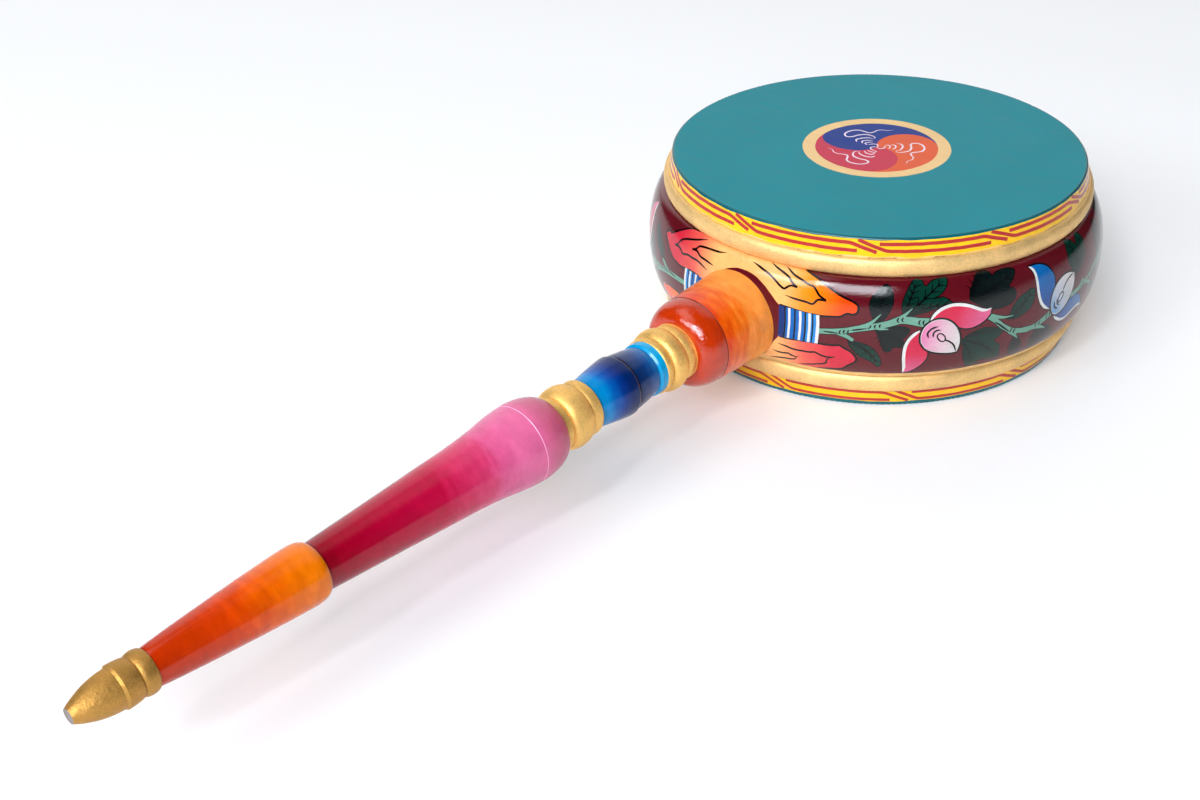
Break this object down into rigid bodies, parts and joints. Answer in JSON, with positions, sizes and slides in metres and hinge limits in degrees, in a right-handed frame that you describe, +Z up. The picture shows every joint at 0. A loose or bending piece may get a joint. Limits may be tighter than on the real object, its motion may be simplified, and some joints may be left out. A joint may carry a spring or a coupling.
{
  "type": "temple hand drum",
  "caption": "Shallow bulged ceremonial drum with painted skin heads and a long turned wooden handle, lying flat on its lower head.",
  "frame": {"origin": "centre of the lower head's underside, where the drum rests", "axes": "+Z up along the drum's axis, from the lower head to the upper head; -Y along the handle, from the drum to its tip; +X to the right of the handle as seen from its tip"},
  "size_m": [0.391, 0.9947, 0.151],
  "materials": {
    "shell_lacquer": "gloss lacquer over painted wood, with gilded mouldings",
    "skin_paint": "satin paint on stretched skin",
    "handle_paint": "gloss paint over turned wood, with gilded rings"
  },
  "bodies": {
    "root": {"shell": "shell_lacquer", "head_upper": "skin_paint", "head_lower": "skin_paint", "handle": "handle_paint"}
  },
  "joints": []
}
